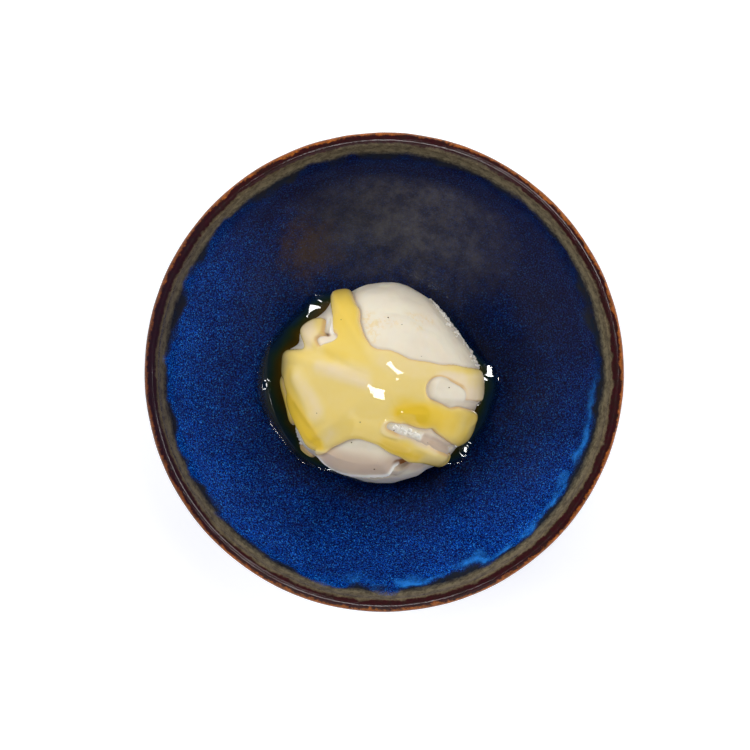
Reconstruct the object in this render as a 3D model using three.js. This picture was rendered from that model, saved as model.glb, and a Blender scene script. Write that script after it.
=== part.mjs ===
// A scoop of vanilla ice cream under thick lemon sauce, with a puddle of it round the foot, in a bowl.
// Millimetres, +Z up. The origin is on the table, under the middle of the bowl, and +Y is the back of the bowl.
import * as THREE from "three";

const { clamp, euclideanModulo, lerp, radToDeg, smoothstep } = THREE.MathUtils;

// ---- Driving dimensions ----

const BOWL = {
  diameter: 150,
  height: 45,
  lipThickness: 4.6,
  wallAtFoot: 5.4,
  floorHeight: 8, // top of the floor above the table, in the middle
  flare: 1.015, // the well's own radius against the radius just inside the lip
  flatness: 2.6, // power of the well's curve: 2 is a round bottom, more is a flatter floor
  footInner: 28.5,
  footOuter: 33.5,
  footRound: 0.9,
  footRecess: 3.2, // height of the underside inside the foot ring
};

const SCOOP = {
  x: -0.7,
  y: -3.1,
  radius: 31.5, // at the brim, where the scoop is widest
  height: 42, // crown above the bowl's floor
  brimHeight: 10,
  baseRadius: 27.5,
  baseHeight: 4.6, // the straight foot of the scoop, which the puddle wets
};

const PUDDLE = {
  level: 4.7, // its still top above the bowl's floor in the middle
  film: 0.4, // its depth at the edge
  steepness: 0.5, // rise of its top over the way in from the edge, up to the level
  reach: 31, // from the scoop's middle, before the runs below
};

const GAP = 0.3; // between solids that rest on each other

const BOWL_SEGMENTS = 72;
const SCOOP_SEGMENTS = 84;
const PUDDLE_SEGMENTS = 64;

// Bumps and dents of the scoop's outline seen from above: direction and spread in degrees, and size.
const SCOOP_FLATS = [
  { at: 36, size: -2.6, spread: 24 },
  { at: 82, size: 0.7, spread: 12 },
  { at: 108, size: -0.7, spread: 6 },
  { at: 119, size: 0.9, spread: 4 },
  { at: 131, size: -2.4, spread: 13 },
  { at: 155, size: -2, spread: 5 },
  { at: 164, size: 0.6, spread: 5 },
  { at: 194, size: -1.6, spread: 14 },
  { at: 219, size: 1, spread: 7 },
  { at: 272, size: 0.9, spread: 40 },
  { at: 297, size: -0.7, spread: 5 },
  { at: 308, size: 0.5, spread: 6 },
  { at: 336, size: -0.8, spread: 7 },
  { at: 7, size: 0.6, spread: 5 },
];

// Runs of the puddle's edge past its plain reach: direction and spread in degrees, and length.
const PUDDLE_RUNS = [
  { at: 180, size: 10.2, spread: 42 },
  { at: 127, size: 3.2, spread: 10 },
  { at: 226, size: 2.5, spread: 14 },
  { at: 265, size: 2, spread: 25 },
  { at: 316, size: 5.2, spread: 12 },
  { at: 340, size: 6, spread: 16 },
  { at: 2, size: 6.6, spread: 13 },
];

// The marks below are strokes on the scoop: their ends are seen from above, from the scoop's middle, and their
// radii are measured over its surface. A stroke that tapers has an end radius of its own.

// Swells, folds and hollows of the ice cream. A stroke stands out by its rise, and edge is the width of its
// slope. The side that faces the crown can have a slope of its own, the crown edge.
const SWELLS = {
  leftPetal: { from: [-25.6, 1], to: [-20.6, -9], radius: 5.2, endRadius: 6.4, edge: 6.4, rise: 1.6 },
  leftFurrow: { from: [-27.4, -8.4], to: [-19.6, -16.8], radius: 3.4, endRadius: 3.8, edge: 3.8, rise: -1.7 },
  crownRidge: { from: [-18.5, 4.5], to: [-5, -0.5], radius: 4.2, endRadius: 3.4, edge: 4.2, rise: 1 },
  shoulderHollow: { from: [-17, 9.5], to: [-12, 7], radius: 3.5, edge: 3.5, rise: -0.7 },
  rightLobe: { from: [18.5, -1.8], to: [30, -1.8], radius: 6, endRadius: 6.4, edge: 3.2, rise: 1.9 },
  streamBed: { from: [6.5, -8], to: [27, -14], radius: 5.5, endRadius: 6, edge: 4.5, rise: -1.3 },
  tornLedge: { from: [2, -13.4], to: [13.5, -17.2], radius: 3.2, edge: 3.2, rise: 1.1, crownEdge: 2 },
  ledgeHollow: { from: [12.5, -16.6], to: [21.5, -20.6], radius: 2, endRadius: 1.6, edge: 2, rise: -1.3 },
  frontRightLobe: { from: [10, -20.4], to: [18.5, -21.6], radius: 5.6, edge: 4.6, rise: 1.9 },
  frontFlap: { from: [-14, -22.9], to: [-1.2, -23.4], radius: 8.2, edge: 2.4, rise: 1.7, crownEdge: 7 },
  frontUndercut: { from: [-16, -27], to: [3, -28.6], radius: 2.4, edge: 2.4, rise: -0.7 },
  frontFold: { from: [5.2, -26.2], to: [8.8, -24.8], radius: 2.4, edge: 2.4, rise: -2 },
  backLeftLobe: { from: [-23.2, 17.6], to: [-22.6, 13.4], radius: 5.4, edge: 4.6, rise: 1.5 },
  backLeftCleft: { from: [-17.6, 22], to: [-18.6, 16], radius: 2.4, edge: 2.4, rise: -1.1 },
  backFacet: { from: [4, 12], to: [15, 8], radius: 11, edge: 3.5, rise: 0.5 },
};

// Runs of sauce that lie on the scoop, each with its depth.
const SAUCE_RUNS = [
  { from: [-13.2, 27], to: [-11.8, 20.8], radius: 3.9, endRadius: 4.7, depth: 2 },
  { from: [-11.8, 20.8], to: [-11.4, 14.5], radius: 4.7, endRadius: 5.2, depth: 1.9 },
  { from: [-11.4, 14.5], to: [-9, 5], radius: 5.2, endRadius: 8.5, depth: 1.5 },
  { from: [-30.4, 5.5], to: [-18, 4], radius: 5.2, endRadius: 5.8, depth: 1.6 },
  { from: [-32.2, -2.6], to: [-30, -9.5], radius: 5, endRadius: 4.8, depth: 2 },
  { from: [-29.8, -9.5], to: [-23.4, -18.2], radius: 4.6, depth: 2 },
  { from: [-27.5, 2], to: [-23, -10], radius: 8.2, endRadius: 8, depth: 0.8 },
  { from: [-26.2, -20.6], to: [-23.2, -23.6], radius: 1.9, endRadius: 1.6, depth: 2.2 },
  { from: [-16, 0], to: [2, -2], radius: 13, endRadius: 11, depth: 1.1 },
  { from: [2, -2], to: [12, -2.8], radius: 11, endRadius: 9.4, depth: 1 },
  { from: [12, -2.8], to: [23, -1.5], radius: 9.4, endRadius: 6.6, depth: 0.5 },
  { from: [23, -1.5], to: [31.3, -1.3], radius: 6.6, endRadius: 5.6, depth: 0.7 },
  { from: [7, -8], to: [17.9, -11.5], radius: 4.6, endRadius: 6.2, depth: 2.1 },
  { from: [17.9, -11.5], to: [26.6, -13.6], radius: 6.2, endRadius: 7.4, depth: 2.5 },
  { from: [26.6, -13.6], to: [28, -12.4], radius: 7.4, endRadius: 7, depth: 2.5 },
  { from: [-20.5, -18], to: [-10.2, -12.6], radius: 4.4, endRadius: 4.6, depth: 2 },
  { from: [-10.2, -12.6], to: [-2.2, -14.4], radius: 4.6, endRadius: 4, depth: 1.5 },
  { from: [-2.2, -14.4], to: [4.8, -18.6], radius: 4, endRadius: 3.2, depth: 1.4 },
  { from: [4.8, -18.6], to: [13.7, -20.4], radius: 3.2, endRadius: 4.8, depth: 0.45 },
  { from: [13.7, -20.4], to: [19.4, -20.8], radius: 4.8, depth: 0.6 },
  { from: [2, -18.2], to: [9.5, -22.2], radius: 2.2, endRadius: 2.4, depth: 1.6 },
  { from: [9.5, -22.2], to: [18.8, -24.2], radius: 2.4, endRadius: 3, depth: 1.7 },
  { from: [-22.8, 17.8], to: [-22.4, 13.4], radius: 4.9, endRadius: 4.6, depth: 1.1 },
];

// Places that the sauce leaves bare.
const BARE_STROKES = [
  { from: [16.8, -2], to: [22.6, -4.6], radius: 3.7 },
  { from: [28.6, -8], to: [32.5, -7.6], radius: 1.6, endRadius: 2.2 },
  { from: [1.6, -12.9], to: [14.2, -16.6], radius: 1.4, endRadius: 2.2 },
  { from: [14.2, -16.6], to: [23.6, -21.6], radius: 2.2, endRadius: 0.8 },
  { from: [-31, -12.8], to: [-27.6, -19], radius: 2.4, endRadius: 2 },
];

const SAUCE = {
  edge: 0.9, // width of the sauce's rounded edge where it has no depth
  bead: 1.2, // growth of that width with the depth
  roundness: 2.4, // power of the edge's curve: 2 is a quarter ellipse
  blend: 2, // strokes flow together over this width
  follow: 0.35, // how much of the ice cream's relief still shows on the sauce's surface
  least: 0.15, // depth left over a high swell
};

// ---- Shared geometry ----

/** Sum of smooth bumps placed round a circle, at angles in radians. */
function around(bumps, angle) {
  return bumps.reduce((sum, { at, size, spread }) => {
    const turn = euclideanModulo(radToDeg(angle) - at + 180, 360) - 180;
    return sum + size * Math.exp(-((turn / spread) ** 2));
  }, 0);
}

/** Moves each vertex of a geometry in place, by a function from its position to its new position. */
function reshape(geometry, move) {
  const position = geometry.attributes.position;
  const point = new THREE.Vector3();
  for (let i = 0; i < position.count; i++) {
    point.fromBufferAttribute(position, i);
    position.setXYZ(i, ...move(point).toArray());
  }
  geometry.computeVertexNormals();
  return geometry;
}

/** A body of revolution about Z from a profile of [radius, height] points. */
function turned(profile, segments) {
  const points = profile.map(([radius, height]) => new THREE.Vector2(radius, height));
  return new THREE.LatheGeometry(points, segments).rotateX(Math.PI / 2);
}

/** Evenly spaced numbers from first to last, both included. */
function spaced(first, last, steps) {
  return Array.from({ length: steps + 1 }, (_, i) => lerp(first, last, i / steps));
}

// ---- Bowl ----

const bowlRadius = BOWL.diameter / 2;
const lipRound = BOWL.lipThickness / 2;
const lipHeight = BOWL.height - lipRound;
const mouthRadius = bowlRadius - BOWL.lipThickness;
const wellRadius = mouthRadius * BOWL.flare;

/** How far up the well's wall a radius is, as a share of the full depth of its curve. */
function wellRise(radius) {
  return 1 - Math.sqrt(1 - (radius / wellRadius) ** BOWL.flatness);
}

const wellDepth = (lipHeight - BOWL.floorHeight) / wellRise(mouthRadius);

/** Height of the bowl's inner face at a distance from its axis. */
function innerHeight(radius) {
  return BOWL.floorHeight + wellDepth * wellRise(radius);
}

/** Steepness of the inner face, as rise over run. */
function innerSlope(radius) {
  const share = (radius / wellRadius) ** BOWL.flatness;
  return radius ? (wellDepth * BOWL.flatness * share) / (2 * radius * Math.sqrt(1 - share)) : 0;
}

/** The point of the outer face behind a radius of the inner face, through the wall's thickness. */
function outerPoint(radius) {
  const slope = innerSlope(radius);
  const thickness = lerp(BOWL.wallAtFoot, BOWL.lipThickness, radius / mouthRadius);
  const length = Math.hypot(1, slope);
  return [radius + (thickness * slope) / length, innerHeight(radius) - thickness / length];
}

function bowlGeometry() {
  const closeToLip = (share) => mouthRadius * (1 - share ** 2);
  const footTop = outerPoint(BOWL.footOuter + 1)[1];
  const foot = [
    [0, BOWL.footRecess],
    [BOWL.footInner - BOWL.footRound, BOWL.footRecess],
    [BOWL.footInner, BOWL.footRound],
    [BOWL.footInner + BOWL.footRound, 0],
    [BOWL.footOuter - BOWL.footRound, 0],
    [BOWL.footOuter, BOWL.footRound],
    [BOWL.footOuter + BOWL.footRound / 2, footTop],
  ];
  const outerWall = spaced(0.68, 0.12, 8).map((share) => outerPoint(closeToLip(share)));
  const lip = spaced(0, Math.PI, 6).map((turn) => [
    bowlRadius - lipRound + lipRound * Math.cos(turn),
    lipHeight + lipRound * Math.sin(turn),
  ]);
  const well = spaced(0.1, 1, 14).map((share) => [closeToLip(share), innerHeight(closeToLip(share))]);
  return turned([...foot, ...outerWall, ...lip, ...well], BOWL_SEGMENTS);
}

// ---- Scoop ----

/** The scoop's outline at a direction, as a share of a plain circle. */
function scoopOutline(angle) {
  return 1 + around(SCOOP_FLATS, angle) / SCOOP.radius;
}

/** Lays a point seen from above flat, at its true distance over the dome from the crown. */
function unroll([x, y]) {
  const reach = Math.hypot(x, y);
  const overDome = SCOOP.radius * Math.asin(Math.min(reach / SCOOP.radius, 1));
  return new THREE.Vector2(x, y).setLength(overDome + Math.max(reach - SCOOP.radius, 0));
}

/** Moves a laid-flat point to the plane of marks, in which a mark keeps its shape all over the dome. */
function toMarks(flat) {
  const lowestLean = 2.6;
  const reach = flat.length();
  const lean = Math.min(reach / SCOOP.radius, lowestLean);
  return flat.clone().multiplyScalar(reach ? (2 * SCOOP.radius * Math.tan(lean / 2)) / reach : 1);
}

/** Distance over the dome from a stroke's edge to a point on the plane of marks, negative inside. */
function strokeDistance(mark, { from, to, radius, endRadius = radius }) {
  const first = toMarks(unroll(from));
  const run = toMarks(unroll(to)).sub(first);
  const share = clamp(mark.clone().sub(first).dot(run) / run.lengthSq(), 0, 1);
  const scale = 1 + mark.lengthSq() / (2 * SCOOP.radius) ** 2;
  return mark.distanceTo(first.addScaledVector(run, share)) / scale - lerp(radius, endRadius, share);
}

/** The lesser of two distances, rounded where they cross. */
function smoothMin(a, b, width) {
  const share = clamp(0.5 + (0.5 * (b - a)) / width, 0, 1);
  return lerp(b, a, share) - width * share * (1 - share);
}

/** 1 where a laid-flat point is on the side of a stroke that faces the crown, and 0 on its other side. */
function crownwards(flat, { from, to }) {
  const halfTurn = 3;
  const middle = (unroll(from).length() + unroll(to).length()) / 2;
  return smoothstep(middle - flat.length(), -halfTurn, halfTurn);
}

/** How far the ice cream stands out of the plain dome at a laid-flat point. */
function swell(flat) {
  const mark = toMarks(flat);
  return Object.values(SWELLS).reduce((sum, lump) => {
    const { edge, rise, crownEdge = edge } = lump;
    const slope = lerp(edge, crownEdge, crownwards(flat, lump));
    return sum + rise * (1 - smoothstep(strokeDistance(mark, lump) / slope, -1, 0));
  }, 0);
}

/** How far a laid-flat point is from the sauce's edge, negative where there is sauce, and the sauce's depth. */
function sauceAt(flat) {
  const pullWidth = 2;
  const mark = toMarks(flat);
  const runs = SAUCE_RUNS.map((run) => strokeDistance(mark, run));
  const bare = BARE_STROKES.map((stroke) => strokeDistance(mark, stroke));
  const covered = runs.reduce((a, b) => smoothMin(a, b, SAUCE.blend));
  const away = bare.reduce((a, b) => -smoothMin(-a, b, SAUCE.blend / 2), covered);
  const pulls = runs.map((distance) => Math.exp(-clamp(distance / pullWidth, -10, 10)));
  const pull = pulls.reduce((a, b) => a + b);
  const depth = pulls.reduce((sum, one, i) => sum + one * SAUCE_RUNS[i].depth, 0) / pull;
  return { away, depth };
}

/** How far the scoop's surface stands out of the plain dome, sauce included. */
function coveredSwell(flat) {
  const bare = swell(flat);
  const { away, depth } = sauceAt(flat);
  if (away >= 0) return bare;
  const full = -smoothMin((1 - SAUCE.follow) * bare - depth, -SAUCE.least, SAUCE.least * 3);
  const inwards = clamp(-away / (SAUCE.edge + SAUCE.bead * full), 0, 1);
  return bare + full * Math.sqrt(1 - (1 - inwards) ** SAUCE.roundness);
}

function scoopGeometry() {
  const { radius, height, brimHeight, baseRadius, baseHeight } = SCOOP;
  const base = [0, 0.4, 0.75, 1].map((share) => [baseRadius * share, 0]);
  const underBrim = spaced(Math.PI / 2, 0, 4).map((turn) => [
    lerp(baseRadius, radius, Math.cos(turn)),
    lerp(brimHeight, baseHeight, Math.sin(turn)),
  ]);
  const dome = spaced(Math.PI / 2, 0, 30).slice(1).map((turn) => [
    radius * Math.sin(turn),
    brimHeight + (height - brimHeight) * Math.cos(turn),
  ]);
  const plain = turned([...base, ...underBrim, ...dome], SCOOP_SEGMENTS);
  const domeHeight = height - brimHeight;
  return reshape(plain, (point) => {
    const rise = point.z;
    const above = Math.max(rise - brimHeight, 0);
    const across = Math.hypot(point.x, point.y);
    const lean = Math.atan2(across / radius, above / domeHeight);
    const travel = rise > brimHeight ? radius * lean : radius * (Math.PI / 2) + brimHeight - rise;
    const flat = new THREE.Vector2(point.x, point.y).setLength(across ? travel : 0);
    const outwards = new THREE.Vector3(point.x / radius ** 2, point.y / radius ** 2, above / domeHeight ** 2);
    const outline = scoopOutline(Math.atan2(point.y, point.x));
    const fade = smoothstep(rise, baseHeight, brimHeight);
    const stand = fade ? fade * coveredSwell(flat) : 0;
    point.x *= outline;
    point.y *= outline;
    point.addScaledVector(outwards.normalize(), stand);
    point.x += SCOOP.x;
    point.y += SCOOP.y;
    const sag = innerHeight(Math.hypot(point.x, point.y)) - BOWL.floorHeight;
    point.z += BOWL.floorHeight + GAP + sag * (1 - smoothstep(rise, 0, brimHeight));
    return point;
  });
}

// ---- Puddle ----

/** Depth of the puddle over the bowl at a point of it, and at a distance inwards from its edge. */
function puddleDepth(floor, fromEdge) {
  const still = BOWL.floorHeight + GAP + PUDDLE.level - floor;
  return Math.min(Math.max(still, PUDDLE.film), PUDDLE.film + PUDDLE.steepness * fromEdge);
}

function puddleGeometry() {
  // The ring's cross-section: share of the way from the scoop to the puddle's edge, and share of its depth.
  const section = [
    [0, 0],
    [0.5, 0],
    [0.98, 0],
    [1, 0.4],
    [0.97, 0.85],
    [0.85, 1],
    [0.6, 1],
    [0.3, 1],
    [0, 1],
    [0, 0],
  ];
  const ring = turned(section.map(([share, depth]) => [1 + share, depth]), PUDDLE_SEGMENTS);
  return reshape(ring, (point) => {
    const angle = Math.atan2(point.y, point.x);
    const inner = SCOOP.baseRadius * scoopOutline(angle) + GAP;
    const outer = PUDDLE.reach + around(PUDDLE_RUNS, angle);
    const reach = lerp(inner, outer, Math.hypot(point.x, point.y) - 1);
    const x = SCOOP.x + reach * Math.cos(angle);
    const y = SCOOP.y + reach * Math.sin(angle);
    const floor = innerHeight(Math.hypot(x, y)) + GAP;
    return point.set(x, y, floor + point.z * puddleDepth(floor, outer - reach));
  });
}

// ---- Finishes and the assembled part ----

const blueGlaze = new THREE.MeshStandardMaterial({ color: 0x06296c, roughness: 0.3, metalness: 0 });
const vanillaAndSauce = new THREE.MeshStandardMaterial({ color: 0xe2d3a0, roughness: 0.35, metalness: 0 });
const lemonSauce = new THREE.MeshStandardMaterial({ color: 0x39462a, roughness: 0.08, metalness: 0 });

function piece(name, geometry, material) {
  const mesh = new THREE.Mesh(geometry, material);
  mesh.name = name;
  return mesh;
}

const part = new THREE.Group();
part.add(piece("bowl", bowlGeometry(), blueGlaze));
part.add(piece("ice_cream_scoop", scoopGeometry(), vanillaAndSauce));
part.add(piece("sauce_puddle", puddleGeometry(), lemonSauce));

export default part;
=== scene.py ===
"""A scoop of vanilla ice cream under thick lemon sauce, in a blue stoneware bowl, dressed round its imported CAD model.

The classes hold their sizes in millimetres, in the part's own frame: the origin on the table under the middle of
the bowl, +Z up and +Y to the back of the bowl. A size becomes metres where it is written into a mesh.
"""

import logging
import math
from dataclasses import dataclass, field
from enum import Enum
from typing import Callable, Iterable, Sequence

import bpy
import numpy as np
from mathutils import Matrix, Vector, noise

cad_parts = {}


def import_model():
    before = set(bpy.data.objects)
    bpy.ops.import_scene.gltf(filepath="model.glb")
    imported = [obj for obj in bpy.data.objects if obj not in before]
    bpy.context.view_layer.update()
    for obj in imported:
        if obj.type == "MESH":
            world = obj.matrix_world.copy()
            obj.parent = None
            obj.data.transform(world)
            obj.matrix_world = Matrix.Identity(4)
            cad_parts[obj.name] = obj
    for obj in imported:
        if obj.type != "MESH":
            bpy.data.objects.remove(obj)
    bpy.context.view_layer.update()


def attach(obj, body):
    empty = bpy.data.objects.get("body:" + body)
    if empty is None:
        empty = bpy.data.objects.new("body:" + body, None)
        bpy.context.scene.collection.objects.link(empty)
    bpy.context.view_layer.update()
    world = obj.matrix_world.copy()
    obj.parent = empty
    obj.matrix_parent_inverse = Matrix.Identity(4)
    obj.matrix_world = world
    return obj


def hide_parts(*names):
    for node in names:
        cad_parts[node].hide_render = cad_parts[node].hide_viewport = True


LOG = logging.getLogger("ice_cream_scoop")

MM = 0.001
BODY = "root"
Point = tuple[float, float]
Colour = tuple[float, float, float, float]
Layer = tuple[float, float, float]  # of noise: height and size of its lumps in millimetres, and seed


class Slot(Enum):
    """Material slots of the record."""

    GLAZE = "glaze"
    ICE_CREAM = "ice_cream"
    SAUCE = "sauce"


class Node(Enum):
    """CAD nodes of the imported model."""

    BOWL = "bowl"
    SCOOP = "ice_cream_scoop"
    PUDDLE = "sauce_puddle"


# ---- Helpers for meshes ----


def begin(adding: Callable, **settings: object) -> bpy.types.Object:
    """Adds a primitive with nothing else selected.

    Args:
        adding: The operator that adds the primitive.
        **settings: The operator's own settings, in metres.

    Returns:
        The new object, which is the active one.
    """
    bpy.ops.object.select_all(action="DESELECT")
    adding(**settings)
    return bpy.context.object


def edit(obj: bpy.types.Object, *steps: Callable[[], object]) -> None:
    """Runs edit-mode steps on the whole of one object.

    Args:
        obj: The object, which is the active one.
        *steps: Calls made in order, each with everything selected.
    """
    bpy.context.view_layer.objects.active = obj
    bpy.ops.object.mode_set(mode="EDIT")
    for step in steps:
        bpy.ops.mesh.select_all(action="SELECT")
        step()
    bpy.ops.object.mode_set(mode="OBJECT")


def places(obj: bpy.types.Object) -> np.ndarray:
    """The vertices of a mesh as an array of rows, in its own units.

    Args:
        obj: The object whose mesh it is.

    Returns:
        Rows of x, y and z.
    """
    flat = np.empty(len(obj.data.vertices) * 3)
    obj.data.vertices.foreach_get("co", flat)
    return flat.reshape(-1, 3)


def move_to(obj: bpy.types.Object, points: np.ndarray) -> None:
    """Puts the vertices of a mesh at the given points, in millimetres."""
    obj.data.vertices.foreach_set("co", (points * MM).ravel())
    obj.data.update()


def paint(obj: bpy.types.Object, name: str, values: np.ndarray) -> None:
    """Stores one number a vertex, for a material to read under that name."""
    attribute = obj.data.attributes.new(name, "FLOAT", "POINT")
    attribute.data.foreach_set("value", values.astype(np.float32))


def spun(section: np.ndarray, steps: int, open_edge: set[int] | None = None) -> bpy.types.Object:
    """Spins a closed section round the Z axis.

    Args:
        section: Rows of radius and height, in millimetres.
        steps: The number of steps round the axis.
        open_edge: The two points between which the section is left open, if it lies on the axis there.

    Returns:
        The solid, with its faces outward.
    """
    count = len(section)
    body = begin(bpy.ops.mesh.primitive_circle_add, vertices=count, radius=section[:, 0].max() * MM)
    move_to(body, np.column_stack([section[:, 0], np.zeros(count), section[:, 1]]))

    def open_the_section() -> None:
        """Deletes the edge between the two points."""
        bpy.ops.mesh.select_mode(type="EDGE")
        bpy.ops.mesh.select_all(action="DESELECT")
        bpy.ops.object.mode_set(mode="OBJECT")
        for edge in body.data.edges:
            edge.select = set(edge.vertices) == open_edge
        bpy.ops.object.mode_set(mode="EDIT")
        bpy.ops.mesh.delete(type="EDGE")

    edit(
        body,
        *([open_the_section] if open_edge else []),
        lambda: bpy.ops.mesh.spin(steps=steps, angle=2 * math.pi, center=(0, 0, 0), axis=(0, 0, 1)),
        lambda: bpy.ops.mesh.remove_doubles(threshold=1e-6),
        lambda: bpy.ops.mesh.normals_make_consistent(inside=False),
    )
    return body


def apply_all(obj: bpy.types.Object) -> None:
    """Applies every modifier of an object, in order.

    Args:
        obj: The object.
    """
    bpy.context.view_layer.objects.active = obj
    for modifier in list(obj.modifiers):
        bpy.ops.object.modifier_apply(modifier=modifier.name)


def finish_piece(
    obj: bpy.types.Object, name: str, material: bpy.types.Material, slot: Slot, *stands_for: Node
) -> bpy.types.Object:
    """Names, shades, dresses and mounts a finished piece.

    Args:
        obj: The piece, at the origin.
        name: Its name in the table of pieces.
        material: Its finish.
        slot: The record's slot that the finish belongs to; not used.
        *stands_for: The CAD nodes that it replaces.

    Returns:
        The piece.
    """
    obj.name = obj.data.name = name
    obj.data.materials.clear()
    obj.data.materials.append(material)
    obj.data.polygons.foreach_set("use_smooth", [True] * len(obj.data.polygons))
    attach(obj, BODY)
    if stands_for:
        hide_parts(*(node.value for node in stands_for))
    LOG.info("%s: %d faces", name, len(obj.data.polygons))
    return obj


# ---- Helpers for shapes ----


def smooth_step(value: np.ndarray, low: float, high: float) -> np.ndarray:
    """An S curve from 0 at low to 1 at high, which may be the lower number of the two."""
    share = np.clip((value - low) / (high - low), 0, 1)
    return share * share * (3 - 2 * share)


def smooth_min(a: np.ndarray, b: np.ndarray, width: float) -> np.ndarray:
    """The lesser of two distances, rounded over a width where they cross."""
    share = np.clip(0.5 + 0.5 * (b - a) / width, 0, 1)
    return b + (a - b) * share - width * share * (1 - share)


def grain(points: np.ndarray, size: float, seed: float = 0.0) -> np.ndarray:
    """Smooth noise between about -1 and 1.

    Args:
        points: Rows of x, y and z in millimetres.
        size: The width of a lump, in millimetres.
        seed: A shift that gives another pattern.

    Returns:
        One number a row.
    """
    shifted = points / size + seed
    return np.array([noise.noise(Vector(point)) for point in shifted])


def grains(points: np.ndarray, layers: Iterable[Layer]) -> np.ndarray:
    """Sum of layers of noise, in millimetres."""
    return sum(height * grain(points, size, seed) for height, size, seed in layers)


def around(bumps: Iterable["Bump"], angle: np.ndarray) -> np.ndarray:
    """Sum of smooth bumps placed round a circle, at angles in radians.

    Args:
        bumps: The bumps and dents.
        angle: The angles to sum them at.

    Returns:
        One sum an angle.
    """
    total = np.zeros_like(angle)
    for bump in bumps:
        turn = (np.degrees(angle) - bump.at + 180) % 360 - 180
        total += bump.size * np.exp(-((turn / bump.spread) ** 2))
    return total


@dataclass(frozen=True)
class Bump:
    """A bump or dent of a round outline: its direction and spread in degrees, and its size in millimetres."""

    at: float
    size: float
    spread: float


@dataclass(frozen=True)
class Stroke:
    """A tapered mark on the dome: its ends as seen from above, and its radii over the surface, in millimetres."""

    start: Point
    end: Point
    start_radius: float
    end_radius: float

    def distance(self, marks: np.ndarray, scoop: "Scoop") -> np.ndarray:
        """Distance over the dome from the stroke's edge, negative inside.

        Args:
            marks: Rows of points on the plane of marks.
            scoop: The scoop that the stroke lies on.

        Returns:
            One distance a row, in millimetres.
        """
        first, last = scoop.marks(scoop.unroll(np.array([self.start, self.end], float)))
        run = last - first
        share = np.clip((marks - first) @ run / max(run @ run, 1e-9), 0, 1)
        gap = np.hypot(*(marks - first - share[:, None] * run).T) / scoop.marks_scale(marks)
        return gap - self.start_radius - (self.end_radius - self.start_radius) * share


@dataclass(frozen=True)
class Swell:
    """A lump, fold or hollow of the ice cream: where it is, how wide its slope is and how far it stands out.

    The slope on the side of the crown can have a width of its own.
    """

    stroke: Stroke
    edge: float
    rise: float
    crown_edge: float | None = None


@dataclass(frozen=True)
class Run:
    """A run of sauce over the scoop, with its depth in millimetres."""

    stroke: Stroke
    depth: float


def stroke(start: Point, end: Point, radius: float, end_radius: float | None = None) -> Stroke:
    """A stroke with one radius, or two."""
    return Stroke(start, end, radius, radius if end_radius is None else end_radius)


# ---- Helpers for finishes ----


Inputs = dict[str | int, object]
Row = tuple[str, str, Inputs]

MIX_FACTOR, MIX_A, MIX_B = 0, 6, 7  # inputs of a Mix node that is set to colours
RANGE_ENDS = ("From Min", "From Max", "To Min", "To Max")


def linear(code: str) -> Colour:
    """Turns an sRGB hex colour such as "#1c55b8" to linear light, with full alpha.

    Args:
        code: The hex colour.

    Returns:
        Red, green, blue and alpha, from 0 to 1.
    """
    shares = [int(code[i : i + 2], 16) / 255 for i in (1, 3, 5)]
    lit = [s / 12.92 if s <= 0.04045 else ((s + 0.055) / 1.055) ** 2.4 for s in shares]
    return (lit[0], lit[1], lit[2], 1.0)


def add_node(tree: bpy.types.NodeTree, name: str, kind: str, inputs: Inputs) -> bpy.types.Node:
    """Adds one named node to a tree, with its settings and links.

    Args:
        tree: The material's node tree.
        name: The node's name, by which later nodes link to it.
        kind: The node's type, without its "ShaderNode".
        inputs: Settings and links by the name of a property or of an input, or by an input's place. "stops" are a
            colour ramp's pairs of position and hex colour. A text for an input is a hex colour, or else a link: an
            earlier node's name, with the name of its output after a dot where that isn't the first one in use.

    Returns:
        The node.
    """
    node = tree.nodes.new("ShaderNode" + kind)
    node.name = name
    for key, value in inputs.items():
        if key == "stops":
            ramp = node.color_ramp.elements
            while len(ramp) < len(value):
                ramp.new(1.0)
            for element, (position, code) in zip(ramp, value):
                element.position, element.color = position, linear(code)
        elif isinstance(key, str) and key in node.bl_rna.properties:
            setattr(node, key, value)
        elif not isinstance(value, str):
            node.inputs[key].default_value = value
        elif value.startswith("#"):
            node.inputs[key].default_value = linear(value)
        else:
            giver, _, output = value.partition(".")
            outputs = tree.nodes[giver].outputs
            source = outputs[output] if output else next(one for one in outputs if one.enabled)
            tree.links.new(source, node.inputs[key])
    return node


def make_material(name: str, rows: Sequence[Row]) -> bpy.types.Material:
    """Makes a material from a table of nodes.

    Args:
        name: The material's name.
        rows: Each node's name, kind and inputs, after the nodes that it links to. The last one is the shader.

    Returns:
        The material.
    """
    material = bpy.data.materials.new(name)
    material.use_nodes = True
    tree = material.node_tree
    tree.nodes.clear()
    for row in rows:
        add_node(tree, *row)
    add_node(tree, "surface", "OutputMaterial", {"Surface": rows[-1][0]})
    return material


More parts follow.
